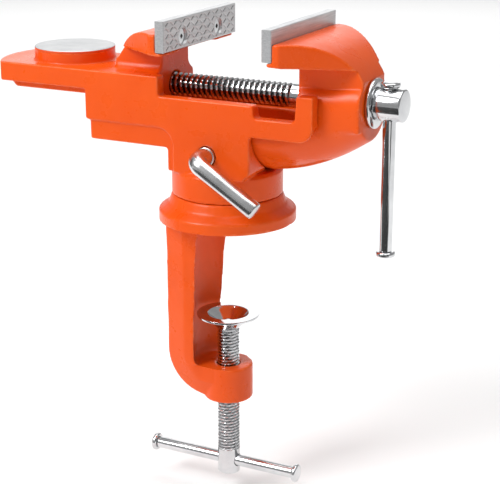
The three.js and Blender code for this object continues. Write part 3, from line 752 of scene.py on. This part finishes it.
def lock_lever_mesh():
    """Bent round bar: a stem with a cone at its inner end, an elbow and the arm."""
    stem_x = 1.4
    stem_z = 38.25
    arm_y = -38.4
    r = 4.55
    shoulder_y = -27.1
    length = 40.2
    bend = r + 1.1
    tip_round = 1.1
    straight_end = length - 1.3
    rings = []

    def ring(x, y, turn, radius):
        rings.append((x, y, turn, radius))

    stem = ((0.01, -18.5), (1.2, -18.55), (5, -22.3), (5, -26.7), (4.8, -27.0), (r, shoulder_y))
    for radius, y in stem:
        ring(0, y, 0, radius)
    for k in range(1, 5):
        ring(0, shoulder_y + (arm_y + bend - shoulder_y) * k / 5, 0, r)
    for k in range(17):
        turn = math.pi / 2 * k / 16
        ring(bend - bend * math.cos(turn), arm_y + bend - bend * math.sin(turn), turn, r)
    for k in range(1, 6):
        ring(bend + (straight_end - bend) * k / 5, arm_y, math.pi / 2, r)
    for k in range(1, 5):
        a = math.pi / 2 * k / 4
        tip_r = r - tip_round * (1 - math.cos(a))
        ring(straight_end + tip_round * math.sin(a), arm_y, math.pi / 2, tip_r)
    ring(length, arm_y, math.pi / 2, 0.01)

    sides = 48
    points = []
    for x, y, turn, radius in rings:
        for i in range(sides):
            a = 2 * math.pi * i / sides
            u = radius * math.cos(a)
            px = x + u * math.cos(turn)
            pz = radius * math.sin(a)
            points.append((
                stem_x + px * math.cos(LEVER_DROP) + pz * math.sin(LEVER_DROP),
                y + u * math.sin(turn),
                stem_z - px * math.sin(LEVER_DROP) + pz * math.cos(LEVER_DROP),
            ))
    faces = []
    for j in range(len(rings) - 1):
        for i in range(sides):
            n = (i + 1) % sides
            faces.append((j * sides + i, j * sides + n, (j + 1) * sides + n, (j + 1) * sides + i))
    faces.append(tuple(range(sides)))
    faces.append(tuple((len(rings) - 1) * sides + i for i in range(sides)))
    mesh = mesh_from("swivel_lock_lever", points, faces)
    smooth_shading(mesh, 35)
    return mesh


def anvil_face_mesh():
    """The machined top of the anvil, ground bright above and painted round its side."""
    bottom = ANVIL_TOP - ANVIL_SKIN
    chamfer = 0.25
    outline = [(0, bottom), (ANVIL_R, bottom), (ANVIL_R, ANVIL_TOP - chamfer),
               (ANVIL_R - chamfer, ANVIL_TOP), (0, ANVIL_TOP)]
    mesh = turned("anvil_skin", outline, "Z", (ANVIL_X, 0, 0), 128)
    smooth_shading(mesh, 30)
    return mesh


# ---- materials ---------------------------------------------------------------
class Shading:
    """Short names for building a node tree."""

    def __init__(self, name):
        self.material = bpy.data.materials.new(name)
        self.material.use_nodes = True
        self.tree = self.material.node_tree
        self.shader = self.tree.nodes["Principled BSDF"]
        self.coordinates = self.add("ShaderNodeTexCoord")
        self.place = self.coordinates.outputs["Object"]

    def add(self, kind, **inputs):
        node = self.tree.nodes.new(kind)
        for key, value in inputs.items():
            self.feed(node.inputs[key.replace("_", " ")], value)
        return node

    def feed(self, socket, value):
        if isinstance(value, bpy.types.NodeSocket):
            self.tree.links.new(value, socket)
        else:
            socket.default_value = value

    def set(self, **inputs):
        for key, value in inputs.items():
            self.feed(self.shader.inputs[key.replace("_", " ")], value)

    def stretched(self, x, y, z):
        return self.add("ShaderNodeMapping", Vector=self.place, Scale=(x, y, z)).outputs["Vector"]

    def noise(self, scale, detail=3.0, rough=0.5, vector=None):
        node = self.add("ShaderNodeTexNoise", Vector=vector or self.place, Scale=scale,
                        Detail=detail, Roughness=rough)
        return node.outputs["Fac"]

    def span(self, value, from_low, from_high, to_low, to_high):
        node = self.add("ShaderNodeMapRange")
        for i, item in enumerate((value, from_low, from_high, to_low, to_high)):
            self.feed(node.inputs[i], item)
        return node.outputs["Result"]

    def math(self, operation, a, b=0.0):
        node = self.add("ShaderNodeMath")
        node.operation = operation
        self.feed(node.inputs[0], a)
        self.feed(node.inputs[1], b)
        return node.outputs["Value"]

    def blend(self, share, a, b):
        node = self.add("ShaderNodeMix")
        node.data_type = "RGBA"
        self.feed(node.inputs["Factor"], share)
        self.feed(node.inputs[6], a)
        self.feed(node.inputs[7], b)
        return node.outputs[2]

    def bump(self, height, strength, distance_mm, normal=None):
        node = self.add("ShaderNodeBump", Height=height, Strength=strength, Distance=distance_mm * MM)
        if normal is not None:
            self.feed(node.inputs["Normal"], normal)
        return node.outputs["Normal"]

    def edge(self):
        """Over 0.5 on outer edges and under 0.5 in inner corners."""
        return self.add("ShaderNodeNewGeometry").outputs["Pointiness"]

    def groove(self):
        node = self.add("ShaderNodeAttribute")
        node.attribute_name = "groove"
        return node.outputs["Fac"]


def rgb(red, green, blue):
    """Linear colour from the 0 to 255 values of a screen colour."""
    def linear(v):
        v /= 255
        return v / 12.92 if v <= 0.04045 else ((v + 0.055) / 1.055) ** 2.4
    return (linear(red), linear(green), linear(blue), 1)


PAINT_TINTS = (rgb(226, 80, 10), rgb(231, 86, 14))


def paint_material():
    """Orange enamel on cast iron: orange peel, lighter edges that are partly rubbed paint and partly
    painted highlight, painted shade in the inner corners, and specks.
    """
    n = Shading("orange_enamel")
    cloud = n.noise(28, 3, 0.55)
    colour = n.blend(n.span(cloud, 0.35, 0.68, 0, 1), *PAINT_TINTS)
    edge = n.edge()
    ridge = n.span(edge, 0.515, 0.56, 0, 1)
    patchy = n.span(n.noise(210, 4, 0.6), 0.42, 0.62, 0, 1)
    # lighter orange on outer edges, in patches: partly rubbed paint, partly a painted highlight
    rub_and_highlight = n.math("MULTIPLY", ridge, patchy)
    colour = n.blend(n.math("MULTIPLY", rub_and_highlight, 0.35), colour, rgb(255, 158, 104))
    # painted shade: darker orange in the inner corners
    corner_shade = n.span(edge, 0.485, 0.44, 0, 1)
    colour = n.blend(n.math("MULTIPLY", corner_shade, 0.35), colour, rgb(170, 48, 10))
    specks = n.span(n.noise(900, 2, 0.5), 0.74, 0.78, 0, 1)
    colour = n.blend(n.math("MULTIPLY", specks, 0.3), colour, rgb(196, 66, 18))
    rough = n.span(n.noise(75, 4, 0.6), 0.3, 0.7, 0.24, 0.36)
    grain = n.bump(n.noise(620, 3, 0.55), 0.16, 0.25)
    skin = n.bump(n.noise(170, 2, 0.5), 0.2, 0.5, grain)
    n.set(Base_Color=colour, Roughness=rough, Normal=skin, Metallic=0.0, IOR=1.5,
          Specular_IOR_Level=0.28)
    return n.material


def machined_material(name, stretch, tint, dark):
    """Bare milled steel: fine parallel tool marks, with painted shade in the cut grooves."""
    n = Shading(name)
    lines = n.noise(1.0, 4, 0.65, n.stretched(*stretch))
    cloud = n.noise(55, 4, 0.55)
    shade = n.blend(n.span(lines, 0.32, 0.7, 0, 1), tint, dark)
    shade = n.blend(n.span(cloud, 0.4, 0.75, 0, 0.25), shade, rgb(236, 236, 236))
    # painted shade: darker deep in the hatch grooves
    shade = n.blend(n.span(n.groove(), 0.2, 0.9, 0, 0.8), shade, rgb(72, 70, 68))
    rough = n.span(lines, 0.3, 0.7, 0.3, 0.46)
    n.set(Base_Color=shade, Roughness=rough, Metallic=0.6,
          Normal=n.bump(lines, 0.3, 0.12))
    return n.material


def anvil_material():
    """Faced on a lathe, then ground: rings about the anvil's axis and short scratches."""
    n = Shading("ground_anvil")
    apart = n.add("ShaderNodeSeparateXYZ", Vector=n.place).outputs
    off = n.math("SUBTRACT", apart["X"], ANVIL_X * MM)
    off_squared = n.math("MULTIPLY", off, off)
    y_squared = n.math("MULTIPLY", apart["Y"], apart["Y"])
    far = n.math("SQRT", n.math("ADD", off_squared, y_squared))
    phase = n.math("ADD", n.math("MULTIPLY", far, 2600.0), n.math("MULTIPLY", n.noise(60, 2), 9.0))
    rings = n.math("SINE", phase)
    scratch = n.noise(1.0, 4, 0.6, n.stretched(90, 1400, 60))
    cloud = n.noise(70, 5, 0.6)
    shade = n.blend(n.span(cloud, 0.35, 0.7, 0, 1), rgb(196, 198, 199), rgb(214, 215, 216))
    rough = n.span(scratch, 0.3, 0.7, 0.38, 0.54)
    height = n.math("ADD", n.math("MULTIPLY", rings, 0.25), scratch)
    facing = n.add("ShaderNodeSeparateXYZ", Vector=n.coordinates.outputs["Normal"]).outputs["Z"]
    ground = n.span(facing, 0.5, 0.6, 0, 1)
    n.set(Base_Color=n.blend(ground, PAINT_TINTS[0], shade), Roughness=rough,
          Metallic=n.math("MULTIPLY", ground, 0.75), Normal=n.bump(height, 0.18, 0.1))
    return n.material


def plated_material(name, tint, rough_low, rough_high, stretch, marks=0.12):
    """Bright plated steel with fine lengthwise polishing marks, painted shade in its inner corners
    and deep painted shade in its thread roots.
    """
    n = Shading(name)
    lines = n.noise(1.0, 3, 0.6, n.stretched(*stretch))
    cloud = n.noise(90, 4, 0.6)
    shade = n.blend(n.span(cloud, 0.35, 0.7, 0, 1), tint, rgb(226, 227, 228))
    edge = n.edge()
    # painted shade: darker in the inner corners
    shade = n.blend(n.span(edge, 0.47, 0.4, 0, 0.45), shade, rgb(96, 94, 92))
    # painted shade: near black deep in the thread roots
    shade = n.blend(n.span(n.groove(), 0.3, 0.9, 0, 0.9), shade, rgb(44, 43, 42))
    rough = n.span(n.math("ADD", n.math("MULTIPLY", lines, 0.6), n.math("MULTIPLY", cloud, 0.4)),
                   0.3, 0.7, rough_low, rough_high)
    n.set(Base_Color=shade, Roughness=rough, Metallic=1.0, Normal=n.bump(lines, marks, 0.08))
    return n.material


def black_material():
    """Black oxide on hidden fasteners."""
    n = Shading("black_oxide")
    cloud = n.noise(300, 4, 0.6)
    shade = n.blend(n.span(cloud, 0.35, 0.7, 0, 1), rgb(38, 38, 40), rgb(58, 57, 58))
    edge = n.edge()
    shade = n.blend(n.span(edge, 0.53, 0.62, 0, 0.6), shade, rgb(150, 150, 150))
    n.set(Base_Color=shade, Roughness=n.span(cloud, 0.3, 0.7, 0.35, 0.55), Metallic=0.7,
          Normal=n.bump(cloud, 0.2, 0.1))
    return n.material


def bronze_material():
    """Cast bronze with machining marks, for the nut inside the body."""
    n = Shading("nut_bronze")
    lines = n.noise(1.0, 4, 0.6, n.stretched(80, 80, 900))
    shade = n.blend(n.span(lines, 0.3, 0.7, 0, 1), rgb(176, 128, 66), rgb(198, 152, 88))
    n.set(Base_Color=shade, Roughness=n.span(lines, 0.3, 0.7, 0.3, 0.48), Metallic=0.95,
          Normal=n.bump(lines, 0.25, 0.1))
    return n.material


PAINT = paint_material()
ANVIL_STEEL = anvil_material()
JAW_STEEL = machined_material("milled_steel", (700, 60, 1400),
                              rgb(216, 217, 218), rgb(188, 189, 191))
BRIGHT = plated_material("bright_plate", rgb(205, 206, 208), 0.1, 0.2, (60, 900, 900))
BRIGHT_UP = plated_material("bright_plate_up", rgb(205, 206, 208), 0.08, 0.17, (900, 900, 60))
SATIN = plated_material("satin_plate", rgb(206, 207, 208), 0.2, 0.28, (200, 200, 200), 0.04)
BLACK = black_material()
BRONZE = bronze_material()


# ---- the pieces --------------------------------------------------------------
new_piece("clamp_frame_casting", clamp_frame_mesh(), "clamp_base", "paint", PAINT, "clamp_frame")
new_piece("body_casting", fixed_body_mesh(), "vise_body", "paint", PAINT, "fixed_body")
new_piece("anvil_skin", anvil_face_mesh(), "vise_body", "jaw_steel", ANVIL_STEEL)
new_piece("sliding_jaw_casting", moving_jaw_mesh(), "sliding_jaw", "paint", PAINT, "moving_jaw")

new_piece("fixed_plate_hatched", jaw_plate_mesh("fixed_plate", FIXED_FACE, FIXED_BACK),
          "vise_body", "jaw_steel", JAW_STEEL, "fixed_jaw_plate")
new_piece("moving_plate_hatched", jaw_plate_mesh("moving_plate", MOVING_FACE, MOVING_BACK),
          "sliding_jaw", "jaw_steel", JAW_STEEL, "moving_jaw_plate")
for number, y in ((1, -PLATE_SCREW_Y), (2, PLATE_SCREW_Y)):
    fixed_name = f"fixed_plate_screw_{number}"
    moving_name = f"moving_plate_screw_{number}"
    new_piece(fixed_name, plate_screw_mesh(fixed_name, FIXED_FACE, -1, y),
              "vise_body", "chrome", BRIGHT, f"fixed_jaw_screw_{number}")
    new_piece(moving_name, plate_screw_mesh(moving_name, MOVING_FACE, 1, y),
              "sliding_jaw", "chrome", BRIGHT, f"moving_jaw_screw_{number}")

new_piece("main_screw_threaded", spindle_mesh(), "main_screw", "chrome", BRIGHT, "spindle")
new_piece("thrust_washer_turned", thrust_washer_mesh(), "main_screw", "chrome", BRIGHT,
          "thrust_washer")
new_piece("lock_lever_bent", lock_lever_mesh(), "swivel_lock", "chrome", SATIN, "lock_lever")
new_piece("bench_pad_cup", clamp_pad_mesh(), "bench_pad", "chrome", BRIGHT_UP, "clamp_pad")
new_piece("bench_screw_threaded", clamp_screw_mesh(), "bench_screw", "chrome", BRIGHT_UP,
          "clamp_screw")


def middle(first, second):
    """Centre between two nodes' far ends, in millimetres."""
    lows = [min(a, b) for a, b in zip(low(first), low(second))]
    highs = [max(a, b) for a, b in zip(high(first), high(second))]
    return tuple((a + b) / 2 for a, b in zip(lows, highs))


main_bar = middle("spindle_bar_cap_bottom", "spindle_bar_cap_top")
bench_bar = middle("clamp_bar_cap_left", "clamp_bar_cap_right")
new_piece("main_bar", bar_mesh("main_bar", "Z", main_bar, MAIN_BAR_HALF),
          "main_handle", "chrome", BRIGHT_UP, "spindle_bar")
new_piece("bench_bar", bar_mesh("bench_bar", "X", bench_bar, BENCH_BAR_HALF),
          "bench_handle", "chrome", BRIGHT, "clamp_bar")
for name, side, node in (("main_bar_button_low", -1, "spindle_bar_cap_bottom"),
                         ("main_bar_button_high", 1, "spindle_bar_cap_top")):
    new_piece(name, bar_cap_mesh(name, "Z", main_bar, MAIN_BAR_HALF, side),
              "main_handle", "chrome", BRIGHT_UP, node)
for name, side, node in (("bench_bar_button_left", -1, "clamp_bar_cap_left"),
                         ("bench_bar_button_right", 1, "clamp_bar_cap_right")):
    new_piece(name, bar_cap_mesh(name, "X", bench_bar, BENCH_BAR_HALF, side),
              "bench_handle", "chrome", BRIGHT, node)

# the inner pieces keep their CAD meshes
for node, material in (("swivel_bolt", BLACK), ("brake_pin", BLACK), ("nut_screw_1", BLACK),
                       ("nut_screw_2", BLACK), ("retaining_screw", BLACK), ("spindle_nut", BRONZE)):
    part = NODES[node]
    part.data.materials.clear()
    part.data.materials.append(material)
    bevel = part.modifiers.new("broken_edges", "BEVEL")
    bevel.width = 0.15 * MM
    bevel.segments = 2
    bevel.limit_method = "ANGLE"
    bevel.angle_limit = math.radians(40)


# ---- studio ------------------------------------------------------------------
def stage_sheet(name, corners, shade):
    """One flat face of the stage, with corners in metres."""
    mesh = bpy.data.meshes.new(name)
    mesh.from_pydata(corners, [], [tuple(range(len(corners)))])
    material = bpy.data.materials.new(name)
    material.use_nodes = True
    shader = material.node_tree.nodes["Principled BSDF"]
    shader.inputs["Base Color"].default_value = (*shade, 1)
    shader.inputs["Roughness"].default_value = 0.8
    mesh.materials.append(material)
    sheet = bpy.data.objects.new(name, mesh)
    SCENE.collection.objects.link(sheet)
    return sheet


def level(x0, x1, y0, y1, z):
    return [(x0, y0, z), (x1, y0, z), (x1, y1, z), (x0, y1, z)]


def upright(x0, y0, x1, y1, z0, z1):
    return [(x0, y0, z0), (x1, y1, z0), (x1, y1, z1), (x0, y0, z1)]


FLOOR_Z = cad_box[0][2] - 0.012
FLOOR_HALF = 6.0
floor_corners = level(-FLOOR_HALF, FLOOR_HALF, -FLOOR_HALF, FLOOR_HALF, FLOOR_Z)
stage_sheet("floor", floor_corners, (0.94, 0.94, 0.94))

world = bpy.data.worlds.new("studio")
SCENE.world = world
world.use_nodes = True
world.node_tree.nodes["Background"].inputs["Color"].default_value = (1, 1, 1, 1)
world.node_tree.nodes["Background"].inputs["Strength"].default_value = 0.36


def softbox(name, place, size, power, height=None):
    """Area light that faces the middle of the object and that the camera doesn't see."""
    light = bpy.data.lights.new(name, "AREA")
    light.shape = "RECTANGLE"
    light.size = size
    light.size_y = height or size
    light.energy = power
    lamp = bpy.data.objects.new(name, light)
    SCENE.collection.objects.link(lamp)
    lamp.visible_camera = False
    lamp.location = place
    lamp.rotation_euler = (-Vector(place)).to_track_quat("-Z", "Y").to_euler()


softbox("key", (-0.8, -1.25, 1.3), 0.8, 27)
softbox("top", (0.1, 0.1, 3.0), 3.0, 66)
softbox("back", (-0.9, 1.8, 0.62), 1.7, 5.5, 0.9)


def black_card(name, corners):
    """A dark sheet that only shows in reflections, as round a product on a light table."""
    card = stage_sheet(name, corners, (0.01, 0.01, 0.01))
    card.visible_camera = False
    card.visible_diffuse = False
    card.visible_shadow = False


black_card("card_right", upright(0.62, -0.55, 0.72, -0.35, -0.3, 0.7))
black_card("card_left", upright(-0.9, -0.25, -0.85, 0.05, -0.3, 0.6))
black_card("card_front", level(-1.0, 0.5, -2.0, -0.16, FLOOR_Z + 0.004))


# ---- camera ------------------------------------------------------------------
AZIMUTH = math.radians(26.89)
ELEVATION = math.radians(17.63)
DISTANCE = 0.72126
TARGET = Vector((0.0131, 0.0, -0.01224))
SENSOR_WIDTH = 36  # in millimetres, as the focal length
FOCAL_LENGTH = 98.9

camera_data = bpy.data.cameras.new("camera")
camera_data.sensor_width = SENSOR_WIDTH
camera_data.lens = FOCAL_LENGTH
camera_data.clip_start = 0.01
camera = bpy.data.objects.new("camera", camera_data)
SCENE.collection.objects.link(camera)
back = Vector((
    math.sin(AZIMUTH) * math.cos(ELEVATION),
    -math.cos(AZIMUTH) * math.cos(ELEVATION),
    math.sin(ELEVATION),
))
camera.location = TARGET + back * DISTANCE
camera.rotation_euler = (-back).to_track_quat("-Z", "Y").to_euler()
SCENE.camera = camera
SCENE.view_settings.view_transform = "Standard"
